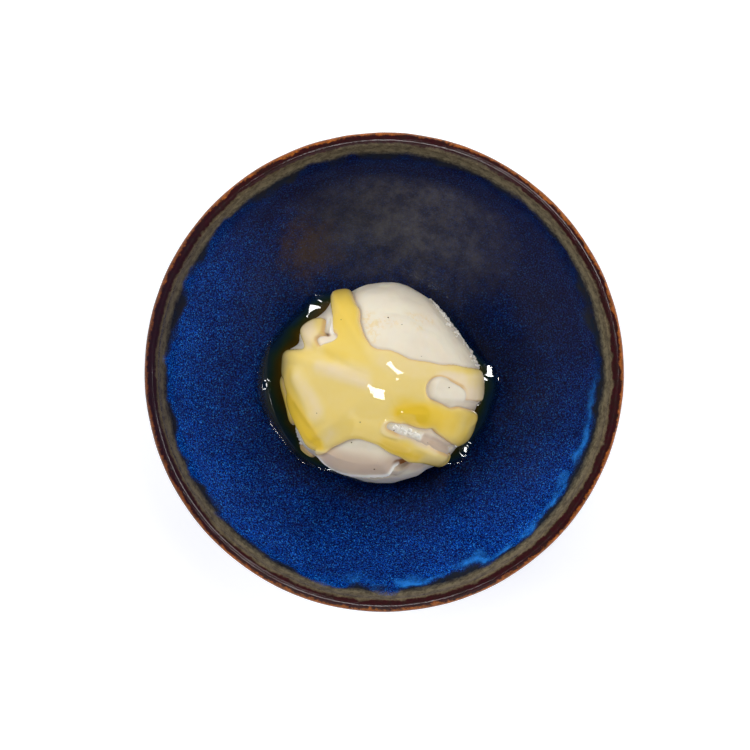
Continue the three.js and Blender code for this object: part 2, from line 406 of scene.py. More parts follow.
@dataclass(frozen=True)
class StonewareGlaze:
    """Reduction-fired stoneware glaze: floating blue that thins to olive, maroon and amber where it runs off the lip.

    It is satin to gloss, with crystals that break its reflections up, fine pale and dark speckles, and pits. The
    foot ring is bare buff clay. Painted shade darkens it to plum towards the back and the right, where the wall
    faces away from the key light, and a painted shadow darkens the well round and in front of the scoop. A mottled
    grey on the back wall is a painted reflection, and the amber on the lip's outer edge is brightened as a painted
    highlight.
    """

    speckle_mm: float = 0.5  # the smallest crystals in such a glaze, near 0.1 mm, are too fine to show
    cloud_mm: float = 9.0
    crystal_mm: float = 3.2
    orange_peel_mm: float = 1.3
    navy: str = "#010f42"
    blue: str = "#0252cc"
    spark: str = "#2c8ef2"
    # plum: the colour of the red dots, and of the painted shade towards the back and the right
    plum: str = "#0f0d22"
    iron: str = "#4a3526"
    # painted reflection: a mottled grey on the back wall, standing for the front card's reflection
    ash: str = "#6a6666"
    clay: str = "#b59a78"
    # painted shadow: the well darkened round and in front of the scoop, where its shadow falls
    painted_scoop_shadow: str = "#04061c"
    stain: str = "#2a221c"
    rust: str = "#1d0f12"
    smoke: str = "#171524"
    lip_bands: tuple[tuple[float, str], ...] = (  # from outside the lip, over its crown, to the well
        (0.0, "#0a2a66"),
        (0.19, "#1a2238"),
        (0.3, "#3c2216"),
        # the amber stops are brighter than the glaze's own amber, where it thins over the edge: a painted highlight on
        # the lip's outer edge, which faces sideways
        (0.39, "#9c541e"),
        (0.44, "#b4662a"),
        (0.463, "#3a1419"),
        (0.55, "#3a151a"),
        (0.575, "#776a52"),
        (0.74, "#7a7058"),
        (0.85, "#1a2230"),
    )

    def patterns(self) -> dict[str, tuple[float, ...]]:
        """Lists the patterns of noise by name.

        Returns:
            Rows of lump size in mm, detail and roughness, then the range that is stretched and its new range.
        """
        return {
            "speckle": (self.speckle_mm, 2, 0.6, 0.45, 0.66, 0, 1),
            "star": (self.speckle_mm * 0.9, 1, 0.5, 0.615, 0.69, 0, 1),
            "cloud": (self.cloud_mm, 4, 0.6, 0.35, 0.7, 0, 0.45),
            "red dot": (self.speckle_mm * 1.4, 1, 0.5, 0.66, 0.72, 0, 0.5),
            "curds": (6, 6, 0.75, 0.4, 0.64, 0.3, 1),
            "rim gaps": (5, 3, 0.5, 0.4, 0.65, 0, 1),
            "stain": (2.2, 5, 0.75, 0.42, 0.62, 0, 0.6),
            "rust": (0.9, 3, 0.7, 0.35, 0.7, 0, 0.5),
            "crystals": (self.crystal_mm, 5, 0.7, 0.42, 0.62, 0.03, 0.16),
            "peel": (self.orange_peel_mm, 3, 0.55, 0, 1, 0, 0.7),
            "grit": (0.35, 2, 0.5, 0, 1, 0, 0.3),
            "reduced swing": (14, 3, 0.5, 0, 1, 0, 0.03),
            "patch swing": (4, 4, 0.7, 0, 1, 0, 0.016),
            "wave": (7, 3, 0.5, 0, 1, -1.7, 1.7),
            "fine wave": (1.1, 3, 0.5, 0, 1, -1.1, 1.1),
            "long wave": (13, 2, 0.5, 0, 1, -10, 10),
        }

    def build(self) -> bpy.types.Material:
        """Makes the material.

        Returns:
            The material, which reads the bowl's from_lip and bare_clay attributes.
        """
        rows: list[Row] = [
            ("place", "TexCoord", {}),
            ("from lip", "Attribute", {"attribute_name": "from_lip"}),
            ("foot", "Attribute", {"attribute_name": "bare_clay"}),
        ]
        for name, (size, detail, roughness, *ends) in self.patterns().items():
            sized = {"Scale": 1 / (size * MM), "Detail": detail, "Roughness": roughness, "Vector": "place.Object"}
            rows.append((name + " noise", "TexNoise", sized))
            rows.append((name, "MapRange", {"Value": name + " noise", **dict(zip(RANGE_ENDS, ends))}))

        # Directions across the bowl: to the back right for the painted shade, to the front right for the bright run
        # edge, and to the right for the darker band at the left
        along = {"to back right": (0.47, 1.15, 0), "to front right": (0.55, -0.75, 0), "to right": (1, 0, 0)}
        # Middles of the painted scoop shadow, of an iron patch, and of the painted reflection on the back wall
        middles = {
            "to thick": (0.002, -0.010, 0.010),
            "to iron": (-0.0225, 0.0385, 0.020),
            "to ash": (0.006, 0.047, 0.020),
        }
        for operation, vectors in (("DOT_PRODUCT", along), ("DISTANCE", middles)):
            for name, vector in vectors.items():
                rows.append((name, "VectorMath", {"operation": operation, 0: "place.Object", 1: vector}))

        sums = {
            "reduced edge": ("to back right.Value", "reduced swing"),
            "thick edge": ("to thick.Value", "patch swing"),
            "iron edge": ("to iron.Value", "patch swing"),
            "ash edge": ("to ash.Value", "patch swing"),
            "lip wave": ("from lip.Fac", "wave"),
            "wavy": ("lip wave", "fine wave"),
            "run edge": ("wavy", "long wave"),
            "height": ("peel", "grit"),
        }
        for name, (first, second) in sums.items():
            rows.append((name, "Math", {"operation": "ADD", 0: first, 1: second}))

        stretches = {
            "reduced": ("reduced edge", 0, 0.065, 0, 0.85),
            "thick": ("thick edge", 0.052, 0.032, 0, 0.93),
            "iron": ("iron edge", 0.021, 0.012, 0, 0.75),
            "ashen": ("ash edge", 0.048, 0.012, 0, 1),
            "on wall": ("from lip.Fac", 19, 24, 0, 0.66),
            "bands": ("wavy", -14, 14, 0, 1),
            "on band": ("run edge", 12, 9, 0, 1),
            "past band": ("run edge", 9.5, 12, 0, 1),
            "before well": ("run edge", 17, 12.5, 0, 0.7),
            "at front right": ("to front right.Value", 0.036, 0.05, 0.03, 1),
            "above wall": ("wavy", -11.5, -8.5, 0, 1),
            "at crown": ("wavy", 7, 2, 0, 1),
            "at left": ("to right.Value", -0.045, -0.073, 0, 0.55),
        }
        for name, (source, *ends) in stretches.items():
            rows.append((name, "MapRange", {"Value": source, **dict(zip(RANGE_ENDS, ends))}))

        products = {
            "rim light": ("past band", "before well", "rim gaps", "at front right"),
            "ashen curds": ("ashen", "curds", "on wall"),
            "on lip": ("on band", "above wall"),
            "stained": ("stain", "on lip"),
            "near lip": ("at crown", "above wall"),
            "rusty": ("rust", "near lip"),
            "smoked": ("at left", "on band"),
            "satin lip": ("near lip", 0.13),
            "matt foot": ("foot.Fac", 0.85),
        }
        for name, (last, *others) in products.items():
            for number, other in enumerate(others, 1):
                step = name if number == len(others) else f"{name} {number}"
                rows.append((step, "Math", {"operation": "MULTIPLY", 0: last, 1: other}))
                last = step

        rows.append(("lip colour", "ValToRGB", {"stops": self.lip_bands, "Fac": "bands"}))
        # Layered over the navy: the glaze's own speckles, clouds, patches and lip bands, with the painted back shade,
        # the painted scoop shadow and the grey painted reflection among them
        layers = (
            ("speckle", self.blue), ("star", self.spark), ("cloud", self.navy), ("red dot", self.plum),
            ("reduced", self.plum), ("thick", self.painted_scoop_shadow), ("iron", self.iron), ("ashen curds", self.ash),
            ("rim light", self.spark), ("on lip", "lip colour"), ("stained", self.stain), ("rusty", self.rust),
            ("smoked", self.smoke), ("foot.Fac", self.clay),
        )
        last = self.navy
        for share, over in layers:
            mixed = {"data_type": "RGBA", MIX_FACTOR: share, MIX_A: last, MIX_B: over}
            last = "over " + share.partition(".")[0]
            rows.append((last, "Mix", mixed))
        return make_material("blue_stoneware_glaze", rows + [
            ("satin", "Math", {"operation": "MAXIMUM", 0: "crystals", 1: "satin lip"}),
            ("rough", "Math", {"operation": "MAXIMUM", 0: "satin", 1: "matt foot"}),
            ("bump", "Bump", {"Strength": 0.2, "Distance": 0.00035, "Height": "height"}),
            ("shader", "BsdfPrincipled", {
                "IOR": 1.5, "Specular IOR Level": 0.14, "Base Color": last, "Roughness": "rough", "Normal": "bump",
            }),
        ])


@dataclass(frozen=True)
class VanillaIceCream:
    """Churned dairy ice cream, scraped by a warm dipper: dense and matt, soft-lit from inside, with torn icy places."""

    cream: str = "#ece3cf"
    butter: str = "#e9d2a0"
    shade: str = "#e2cfb8"
    # fold: painted shade, laid by the shaded attribute on the front flap, in hollows and on a torn place at the left
    fold: str = "#c6ad99"
    # brown of the pit at the back left, and of painted shade in the front fold's crease, under the flap's lip and along
    # the sauce's edge
    brown_and_shade: str = "#7d4c12"
    # white of icy torn places, and of the painted highlight along the front flap's lip
    frost_and_highlight_white: str = "#fbf7ee"
    crystal_mm: float = 0.5  # real ice crystals are near 0.05 mm, too fine to show
    name: str = "vanilla_ice_cream"
    softness: float = 0.35

    def build(self) -> bpy.types.Material:
        """Makes the material.

        Returns:
            The material, which reads the piece's torn, shaded, browned and frosted attributes.
        """
        scale = 1 / (self.crystal_mm * MM)
        rows: list[Row] = [
            ("place", "TexCoord", {}),
            *((name, "Attribute", {"attribute_name": name}) for name in ("torn", "shaded", "browned", "frosted")),
            ("fine", "TexNoise", {"Scale": scale, "Detail": 3, "Roughness": 0.6, "Vector": "place.Object"}),
            ("broad", "TexNoise", {"Scale": scale / 16, "Detail": 3, "Roughness": 0.5, "Vector": "place.Object"}),
            ("blotch", "TexNoise", {"Scale": scale / 3.5, "Detail": 5, "Roughness": 0.7, "Vector": "place.Object"}),
            ("clouds", "MapRange", {"From Min": 0.42, "From Max": 0.68, "To Max": 0.35, "Value": "broad"}),
            ("spots", "MapRange", {"From Min": 0.47, "From Max": 0.6, "Value": "blotch"}),
            ("buttery", "Math", {"operation": "MULTIPLY", 0: "torn.Fac", 1: "spots"}),
        ]
        last = self.cream
        # Layered over the cream: random clouds, butter on torn places, painted shade, brown with painted shade, and icy
        # white with a painted highlight
        for share, over in (
            ("clouds", self.shade), ("buttery", self.butter), ("shaded.Fac", self.fold),
            ("browned.Fac", self.brown_and_shade), ("frosted.Fac", self.frost_and_highlight_white),
        ):
            mixed = {"data_type": "RGBA", MIX_FACTOR: share, MIX_A: last, MIX_B: over}
            last = "over " + share.partition(".")[0]
            rows.append((last, "Mix", mixed))
        return make_material(self.name, rows + [
            ("tooth", "MapRange", {"To Min": 0.06, "To Max": 0.32, "Value": "torn.Fac"}),
            ("bump", "Bump", {"Distance": 0.0005, "Height": "fine", "Strength": "tooth"}),
            ("shader", "BsdfPrincipled", {
                "Roughness": 0.5, "IOR": 1.35, "Subsurface Weight": self.softness,
                "Subsurface Radius": (1.0, 0.75, 0.45), "Subsurface Scale": 0.002,
                "Base Color": last, "Normal": "bump",
            }),
        ])


@dataclass(frozen=True)
class LemonSauce:
    """Cooked lemon sauce: a wet, see-through yellow gel, pale where it is thin on the cream and deep where it pools."""

    # edge: a darker amber, a painted line of refracted light and shade along the sauce's edge
    edge: str = "#dca216"
    drift_mm: float = 3.5  # slow change of tint in the gel
    deepest_mm: float = 3.0

    def build(self) -> bpy.types.Material:
        """Makes the material.

        Returns:
            The material, which reads the blanket's depth_mm and rim_share attributes.
        """
        by_depth = (
            (0.0, "#f0dcc2"), (0.13, "#f0d9aa"), (0.3, "#f0d68c"), (0.5, "#f1d271"), (0.73, "#f1cb52"),
            (1.0, "#e8c13a"),
        )
        return make_material("lemon_sauce", [
            ("place", "TexCoord", {}),
            ("depth", "Attribute", {"attribute_name": "depth_mm"}),
            ("rim", "Attribute", {"attribute_name": "rim_share"}),
            ("drift", "TexNoise", {"Scale": 1 / (self.drift_mm * MM), "Detail": 3, "Vector": "place.Object"}),
            ("sway", "MapRange", {"To Min": -0.22, "To Max": 0.22, "Value": "drift"}),
            ("swayed", "Math", {"operation": "ADD", 0: "depth.Fac", 1: "sway"}),
            ("share", "MapRange", {"From Max": self.deepest_mm, "Value": "swayed"}),
            ("yellow", "ValToRGB", {"stops": by_depth, "Fac": "share"}),
            ("part", "Math", {"operation": "MULTIPLY", 0: "rim.Fac", 1: 0.5}),
            ("edged", "Mix", {"data_type": "RGBA", MIX_FACTOR: "part", MIX_A: "yellow", MIX_B: self.edge}),
            ("shader", "BsdfPrincipled", {
                "Roughness": 0.025, "IOR": 1.42, "Subsurface Weight": 0.12, "Subsurface Radius": (1.0, 0.8, 0.3),
                "Subsurface Scale": 0.003, "Base Color": "edged",
            }),
        ])


@dataclass(frozen=True)
class PooledSauce:
    """The same sauce, melted and thin on the bowl: its yellow over the blue glaze looks dark green, and it is wet."""

    drift_mm: float = 6.0  # slow change of tint in the melt

    def build(self) -> bpy.types.Material:
        """Makes the material.

        Returns:
            The material, which reads the puddle's cover attribute, 0 at its outer edge and 1 at the scoop.
        """
        by_cover = ((0.0, "#0b2552"), (0.2, "#183048"), (0.36, "#2a3c2a"), (0.5, "#4c4116"), (0.64, "#70530c"))
        return make_material("pooled_lemon_sauce", [
            ("place", "TexCoord", {}),
            ("cover", "Attribute", {"attribute_name": "cover"}),
            ("drift", "TexNoise", {"Scale": 1 / (self.drift_mm * MM), "Detail": 2, "Vector": "place.Object"}),
            ("sway", "MapRange", {"To Min": -0.12, "To Max": 0.12, "Value": "drift"}),
            ("swayed", "Math", {"operation": "ADD", 0: "cover.Fac", 1: "sway"}),
            ("green", "ValToRGB", {"stops": by_cover, "Fac": "swayed"}),
            ("alpha", "MapRange", {"From Max": 0.2, "To Min": 0.08, "To Max": 1.0, "Value": "cover.Fac"}),
            ("shader", "BsdfPrincipled", {
                "Roughness": 0.04, "IOR": 1.42, "Specular IOR Level": 0.85, "Base Color": "green", "Alpha": "alpha",
            }),
        ])


@dataclass(frozen=True)
class PlainFinish:
    """A small even finish with a slight mottle, for specks and the floor."""

    name: str
    colour: str
    mottle: str
    roughness: float = 0.6
    lump_mm: float = 1.0
    glow: float = 0.0

    def build(self) -> bpy.types.Material:
        """Makes the material.

        Returns:
            The material, which reads no attribute.
        """
        return make_material(self.name, [
            ("place", "TexCoord", {}),
            ("lump", "TexNoise", {"Scale": 1 / (self.lump_mm * MM), "Detail": 2, "Vector": "place.Object"}),
            ("mixed", "Mix", {"data_type": "RGBA", MIX_FACTOR: "lump", MIX_A: self.colour, MIX_B: self.mottle}),
            ("shader", "BsdfPrincipled", {
                "Roughness": self.roughness, "Emission Color": "#ffffff", "Emission Strength": self.glow,
                "Base Color": "mixed",
            }),
        ])


# ---- The bowl ----


@dataclass
class Bowl:
    """A turned and glazed stoneware bowl with a rolled lip and a foot ring."""

    diameter: float = 150.0
    height: float = 45.0
    lip_thickness: float = 4.6
    wall_at_foot: float = 5.4
    floor_height: float = 8.0
    flare: float = 1.015
    flatness: float = 2.6
    foot_inner: float = 28.5
    foot_outer: float = 33.5
    foot_round: float = 0.9
    foot_recess: float = 3.2
    segments: int = 288
    glaze_run: float = 14.0
    glaze_run_fade: float = 12.0
    glaze_inset: float = 0.14
    glaze_lumps: tuple[Layer, ...] = ((0.12, 9.0, 0.0), (0.04, 3.5, 7.0))
    glaze_from: Point = (5.0, 9.0)
    clay_below: Point = (3.4, 2.4)

    def __post_init__(self) -> None:
        """Works out the sizes that follow from the driving ones."""
        self.radius = self.diameter / 2
        self.lip_round = self.lip_thickness / 2
        self.lip_height = self.height - self.lip_round
        self.mouth_radius = self.radius - self.lip_thickness
        self.well_radius = self.mouth_radius * self.flare
        self.well_depth = 1.0
        self.well_depth = (self.lip_height - self.floor_height) / float(self.well_rise(self.mouth_radius))

    def well_rise(self, radius: np.ndarray | float) -> np.ndarray | float:
        """How far up the well's wall a radius is, as a share of the full depth of its curve."""
        return 1 - np.sqrt(1 - (radius / self.well_radius) ** self.flatness)

    def inner_height(self, radius: np.ndarray | float) -> np.ndarray | float:
        """Height of the inner face at a distance from the axis."""
        return self.floor_height + self.well_depth * self.well_rise(radius)

    def inner_slope(self, radius: float) -> float:
        """Steepness of the inner face, as rise over run."""
        share = (radius / self.well_radius) ** self.flatness
        return self.well_depth * self.flatness * share / (2 * max(radius, 1e-6) * math.sqrt(1 - share))

    def outer_point(self, radius: float) -> Point:
        """The point of the outer face behind a radius of the inner face.

        Args:
            radius: The radius on the inner face.

        Returns:
            Radius and height of the point.
        """
        slope = self.inner_slope(radius)
        thickness = self.wall_at_foot + (self.lip_thickness - self.wall_at_foot) * radius / self.mouth_radius
        length = math.hypot(1, slope)
        return radius + thickness * slope / length, self.inner_height(radius) - thickness / length

    def profile(self) -> list[Point]:
        """The bowl's section from the middle of its underside, round the lip, to the middle of the floor.

        Returns:
            Pairs of radius and height.
        """

        def near_lip(share: float) -> float:
            """Radii that crowd towards the lip."""
            return self.mouth_radius * (1 - share**2)

        foot_top = self.outer_point(self.foot_outer + 1)[1]
        foot = [
            (0.0, self.foot_recess),
            (self.foot_inner * 0.5, self.foot_recess),
            (self.foot_inner - self.foot_round, self.foot_recess),
            (self.foot_inner - 0.1, self.foot_recess - 0.6),
            (self.foot_inner, self.foot_round),
            (self.foot_inner + self.foot_round * 0.3, self.foot_round * 0.3),
            (self.foot_inner + self.foot_round, 0.0),
            (self.foot_outer - self.foot_round, 0.0),
            (self.foot_outer - self.foot_round * 0.3, self.foot_round * 0.3),
            (self.foot_outer, self.foot_round),
            (self.foot_outer + self.foot_round * 0.4, foot_top - 0.5),
            (self.foot_outer + self.foot_round * 0.9, foot_top),
        ]
        outside = [self.outer_point(near_lip(share)) for share in np.linspace(0.68, 0.1, 34)]
        centre = self.radius - self.lip_round
        lip = [
            (centre + self.lip_round * math.cos(turn), self.lip_height + self.lip_round * math.sin(turn))
            for turn in np.linspace(0, math.pi, 15)
        ]
        well = [(near_lip(share), self.inner_height(near_lip(share))) for share in np.linspace(0.05, 1, 60)]
        return foot + outside + lip + [(float(r), float(z)) for r, z in well]

    def build(self, glaze: bpy.types.Material) -> bpy.types.Object:
        """Spins the section into the bowl, and gives the glaze its small unevenness.

        Args:
            glaze: The bowl's finish.

        Returns:
            The bowl, which stands for its CAD node.
        """
        section = np.array(self.profile())
        bowl = spun(section, self.segments, {0, len(section) - 1})
        points = places(bowl) / MM
        radius = np.hypot(points[:, 0], points[:, 1])
        lengths = np.concatenate([[0], np.cumsum(np.hypot(*np.diff(section, axis=0).T))])
        crown = lengths[np.argmax(section[:, 1])]
        here = np.column_stack([radius, points[:, 2]])
        nearest = np.argmin(
            np.hypot(here[:, None, 0] - section[None, :, 0], here[:, None, 1] - section[None, :, 1]), axis=1
        )
        from_lip = lengths[nearest] - crown
        near = [np.clip((self.glaze_run + side * from_lip) / self.glaze_run_fade, 0, 1) for side in (1, -1)]
        lump = grains(points, self.glaze_lumps)
        normals = np.empty(len(points) * 3)
        bowl.data.vertices.foreach_get("normal", normals)
        above_foot = smooth_step(points[:, 2], *self.glaze_from)
        wander = (lump * above_foot * (0.5 + 0.5 * near[0] * near[1]) - self.glaze_inset * above_foot)[:, None]
        move_to(bowl, points + normals.reshape(-1, 3) * wander)
        paint(bowl, "from_lip", from_lip)
        paint(bowl, "bare_clay", np.where(from_lip < 0, smooth_step(points[:, 2], *self.clay_below), 0.0))
        return finish_piece(bowl, "glazed_bowl", glaze, Slot.GLAZE, Node.BOWL)


# ---- The scoop ----


@dataclass
class Scoop:
    """A ball of ice cream from a dipper, with its folds and torn places, under runs of sauce."""

    x: float = -0.7
    y: float = -3.1
    radius: float = 31.5
    height: float = 42.0
    brim_height: float = 10.0
    base_radius: float = 27.5
    base_height: float = 4.6
    gap: float = 0.3
    cuts: int = 10
    dome_turn: float = 105.0
    flank_turn: float = 135.0
    flats: tuple[Bump, ...] = (
        Bump(36, -2.6, 24), Bump(82, 0.7, 12), Bump(108, -0.7, 6), Bump(119, 0.9, 4), Bump(131, -2.4, 13),
        Bump(155, -2.0, 5), Bump(164, 0.6, 5), Bump(194, -1.6, 14), Bump(219, 1.0, 7), Bump(272, 0.9, 40),
        Bump(297, -0.7, 5), Bump(308, 0.5, 6), Bump(336, -0.8, 7), Bump(7, 0.6, 5),
    )
    swells: dict[str, Swell] = field(
        default_factory=lambda: {
            "left petal": Swell(stroke((-25.6, 1.0), (-20.6, -9), 5.2, 6.0), 5.0, 1.6),
            "left furrow": Swell(stroke((-27.4, -8.4), (-19.6, -16.8), 3.4, 3.8), 3.8, -1.7),
            "crown ridge": Swell(stroke((-18.5, 4.5), (-5, -0.5), 4.2, 3.4), 4.2, 1.0),
            "shoulder hollow": Swell(stroke((-17, 9.5), (-12, 7), 3.5), 3.5, -0.7),
            "right lobe": Swell(stroke((18.5, -1.8), (30, -1.8), 6.0, 6.4), 3.2, 1.9),
            "stream bed": Swell(stroke((6.5, -8), (22, -12.5), 5.5, 6), 4.5, -1.3),
            "stream end": Swell(stroke((27.5, -13.5), (26.5, -17.0), 5.6), 4.4, 1.1),
            "torn ledge": Swell(stroke((2.0, -13.4), (13.5, -17.2), 3.2), 3.2, 1.1, 1.2),
            "ledge hollow": Swell(stroke((12.5, -16.6), (21.5, -20.6), 2.0, 1.6), 2.0, -1.3),
            "front right lobe": Swell(stroke((10, -20.4), (18.5, -21.6), 5.6), 4.6, 1.2),
            "front flap": Swell(stroke((-14.0, -23.6), (-1.2, -24.4), 6.6, 6.3), 0.4, 1.8, 6.0),
            "front undercut": Swell(stroke((-16.8, -27.0), (3.2, -28.9), 1.3, 1.4), 1.2, -1.0),
            "front fold": Swell(stroke((5.2, -26.4), (8.8, -24.8), 1.8, 1.3), 1.1, -2.6),
            "back left lobe": Swell(stroke((-23.2, 17.6), (-22.6, 13.4), 5.4), 4.6, 1.5),
            "back left pit": Swell(stroke((-19.0, 15.9), (-18.4, 16.1), 1.3), 1.2, -1.6),
            "back left cleft": Swell(stroke((-17.6, 22), (-18.4, 16.5), 1.0), 1.0, -1.3),
            "back facet": Swell(stroke((4, 12), (15, 8), 11), 3.5, 0.5),
            "right rim": Swell(stroke((21, 24.0), (31.6, 6.5), 0.9, 1.1), 1.0, 0.35),
        }
    )
    torn: tuple[Stroke, ...] = (
        stroke((16, 27.5), (23, 21.5), 0.8, 1.6),
        stroke((23, 21.5), (30, 12), 1.6, 2.0),
        stroke((30, 12), (32, 4), 2.0, 1.8),
        stroke((-30, -11.0), (-26, -19.5), 1.8, 1.6),
        stroke((3, -13.0), (11, -15.6), 1.0, 1.3),
    )
    freckled: tuple[Stroke, ...] = (
        stroke((-4.5, 20.5), (-2.5, 13.5), 2.0, 1.8),
        stroke((-2.5, 18.0), (4, 18.6), 2.4, 1.8),
        stroke((9.5, 20.8), (16.5, 20.4), 1.6, 1.2),
        stroke((10.5, 17.6), (14, 17.6), 0.9, 0.7),
    )
    runs: tuple[Run, ...] = (
        Run(stroke((-13.3, 27.8), (-11.8, 20.8), 3.9, 4.7), 2.0),
        Run(stroke((-11.8, 20.8), (-11.4, 14.5), 4.7, 5.2), 1.9),
        Run(stroke((-11.4, 14.5), (-9, 5), 5.2, 8.5), 1.5),
        Run(stroke((-30.4, 5.5), (-18, 4.0), 5.2, 5.8), 1.1),
        Run(stroke((-32.2, -2.6), (-30.0, -9.5), 5.0, 4.8), 2.0),
        Run(stroke((-28.6, -7.0), (-20.8, -16.6), 4.8, 4.8), 2.7),
        Run(stroke((-27.5, 2), (-23, -8), 8.2, 7.4), 1.9),
        Run(stroke((-26.2, -20.6), (-23.2, -23.6), 1.9, 1.6), 2.2),
        Run(stroke((-16, 0), (2, -2), 13.0, 11.0), 1.1),
        Run(stroke((2, -2), (12, -2.8), 11.0, 9.4), 1.0),
        Run(stroke((12, -2.8), (23, -1.5), 9.4, 6.6), 1.1),
        Run(stroke((23, -1.5), (31.0, -1.3), 6.6, 5.4), 1.3),
        Run(stroke((6.6, -8.8), (13, -9.6), 3.4, 4.6), 3.2),
        Run(stroke((13, -9.6), (17.9, -11.5), 5.0, 6.2), 1.5),
        Run(stroke((17.9, -11.5), (26.6, -13.6), 6.2, 7.4), 1.1),
        Run(stroke((26.6, -13.6), (28.0, -12.4), 7.4, 7.0), 2.7),
        Run(stroke((-20.5, -18.0), (-10.2, -12.6), 4.4, 4.6), 1.2),
        Run(stroke((-10.2, -12.6), (-2.2, -14.4), 4.6, 4.0), 1.5),
        Run(stroke((-2.2, -14.4), (4.8, -18.6), 4.0, 3.2), 1.4),
        Run(stroke((4.8, -18.6), (13.7, -20.4), 3.2, 4.8), 1.9),
        Run(stroke((13.7, -20.4), (20.4, -21.4), 4.8, 4.4), 1.7),
        Run(stroke((2.0, -18.2), (9.5, -22.2), 2.2, 2.4), 1.6),
        Run(stroke((9.5, -22.2), (18.8, -24.2), 2.4, 3.0), 1.7),
        Run(stroke((-22.8, 17.8), (-22.4, 13.4), 4.9, 4.6), 1.4),
    )
    bare: tuple[Stroke, ...] = (
        stroke((16.8, -2.0), (22.6, -4.6), 3.7, 3.7),
        stroke((22.8, -6.2), (32.4, -8.2), 1.2, 1.9),
        stroke((2.6, -12.9), (14.2, -16.6), 1.3, 2.2),
        stroke((14.2, -16.6), (23.6, -21.6), 2.2, 0.8),
        stroke((-31.0, -12.8), (-27.6, -19.0), 2.4, 2.0),
        stroke((-19.0, 13.6), (-16.6, 14.6), 1.9, 2.0),
    )
    thin: tuple[Stroke, ...] = (
        stroke((6.5, -15.6), (16.5, -18.8), 1.0, 1.6),
        stroke((24.6, -3.6), (27.5, -4.4), 1.5, 1.0),
    )
    pale: tuple[Stroke, ...] = (
        stroke((-13.8, 4.6), (-6.4, 2.0), 2.6, 3.0),
        stroke((-15.0, -14.6), (-17.0, -19.0), 1.6, 1.2),
        stroke((-19.4, 13.8), (-22.6, 17.0), 1.6, 1.6),
    )
    deep: tuple[Stroke, ...] = (
        stroke((5.8, -9.6), (11.5, -9.2), 1.2, 1.8),
        stroke((-30.0, -2.4), (-26.2, -10.2), 0.7, 1.5),
        stroke((-26.2, -10.2), (-22.2, -13.4), 1.5, 1.9),
        stroke((-22.2, -13.4), (-18.6, -18.4), 1.9, 1.4),
        stroke((26.0, 1.0), (31.0, -0.6), 1.6, 1.4),
        stroke((1.0, -17.6), (10.5, -22.0), 0.7, 1.2),
        stroke((26.0, -17.4), (29.5, -12.0), 0.8, 1.2),
    )
    # Icy white on torn places and on the torn rim at the right
    frosted: tuple[Stroke, ...] = (
        stroke((4.0, -13.6), (11.5, -16.2), 1.2, 0.9),
        stroke((-18.4, 21.2), (-16.6, 16.8), 1.2, 1.2),
        stroke((-31.0, -10.6), (-26.4, -19.6), 1.2, 1.0),
        stroke((20, 25.0), (31.8, 6.0), 1.5, 1.6),
    )
    shaded: tuple[Stroke, ...] = (
        stroke((-14.5, -23), (2.0, -25.0), 4.6, 4.4),
        stroke((6, -24.4), (12, -26.6), 2.6, 1.6),
        stroke((12.5, -17.2), (20, -20.6), 2.2, 1.6),
        stroke((-31, -11), (-27, -18), 2.4, 2.0),
    )
    torn_blur: float = 1.2
    freckled_blur: float = 1.6
    shaded_blur: float = 2.4
    browned_and_shade_blur: float = 0.6
    frost_and_highlight_blur: float = 0.9
    thin_blur: float = 1.8
    tint_blur: float = 2.4
    marked_share: float = 0.8
    thin_share: float = 0.9
    pale_share: float = 0.5
    deep_mm: float = 1.8
    # painted shadow in the gap under the front flap's lip
    gap_shade: float = 0.25
    # painted shade: a faint brown line on the cream along the sauce's edge
    edge_shade: float = 0.22
    lumps: tuple[Layer, ...] = ((0.35, 6.0, 0.0), (0.12, 2.2, 3.0))
    tearing: tuple[Layer, ...] = ((0.5, 1.3, 5.0), (0.3, 0.7, 9.0))
    tearing_share: float = 1.2
    farthest_lean: float = 2.6
    sauce_edge: float = 0.9
    sauce_bead: float = 1.2
    sauce_blend: float = 2.0
    sauce_follow: float = 0.35
    sauce_least: float = 0.15
    sauce_margin: float = 0.9
    sauce_shell: float = 0.8
    bead_power: float = 2.4
    # where the painted edge line lies, in millimetres from the sauce's edge
    painted_edge_span: Point = (-0.75, -0.1)
    specks: tuple[Point, ...] = (
        (19.8, -1.6), (6.1, 17.6), (1.9, 19.5), (-19.5, -9.3), (-6.4, -11.7), (-9.3, -18.5), (-1.3, -23.3),
        (1.9, -23.6), (-2.2, -25.2), (-12.5, 19.2), (13.1, 8.6), (16.3, 8.0), (13.7, -18.2), (3.5, -14.1),
    )
    # Brown marks: the pit at the back left, and painted shade in the front fold's crease, where thin sauce also gathers
    browned: tuple[Stroke, ...] = (
        stroke((-18.6, 16.1), (-17.6, 15.7), 0.9, 0.8),
        stroke((4.8, -24.6), (8.8, -23.8), 1.7, 1.3),
    )
    speck_radius: float = 0.2
    crumb_radii: Point = (0.2, 0.62)
    crumb_spread: float = 0.4
    crumb_margin: float = 0.6
    crumb_frost: float = 0.9
    crumbs_per_mm: float = 6.0

    def __post_init__(self) -> None:
        """Works out the lengths over the surface."""
        self.brim_reach = self.radius * math.pi / 2
        self.foot_reach = self.brim_reach + self.brim_height

    def unroll(self, plan: np.ndarray) -> np.ndarray:
        """Lays points seen from above flat, at their true distance over the dome from its crown.

        Args:
            plan: Rows of x and y from the crown, seen from above.

        Returns:
            Rows of points on the dome laid flat.
        """
        reach = np.maximum(np.hypot(plan[:, 0], plan[:, 1]), 1e-9)
        over = np.arcsin(np.clip(reach / self.radius, 0, 1)) * self.radius + np.maximum(reach - self.radius, 0)
        return plan * (over / reach)[:, None]

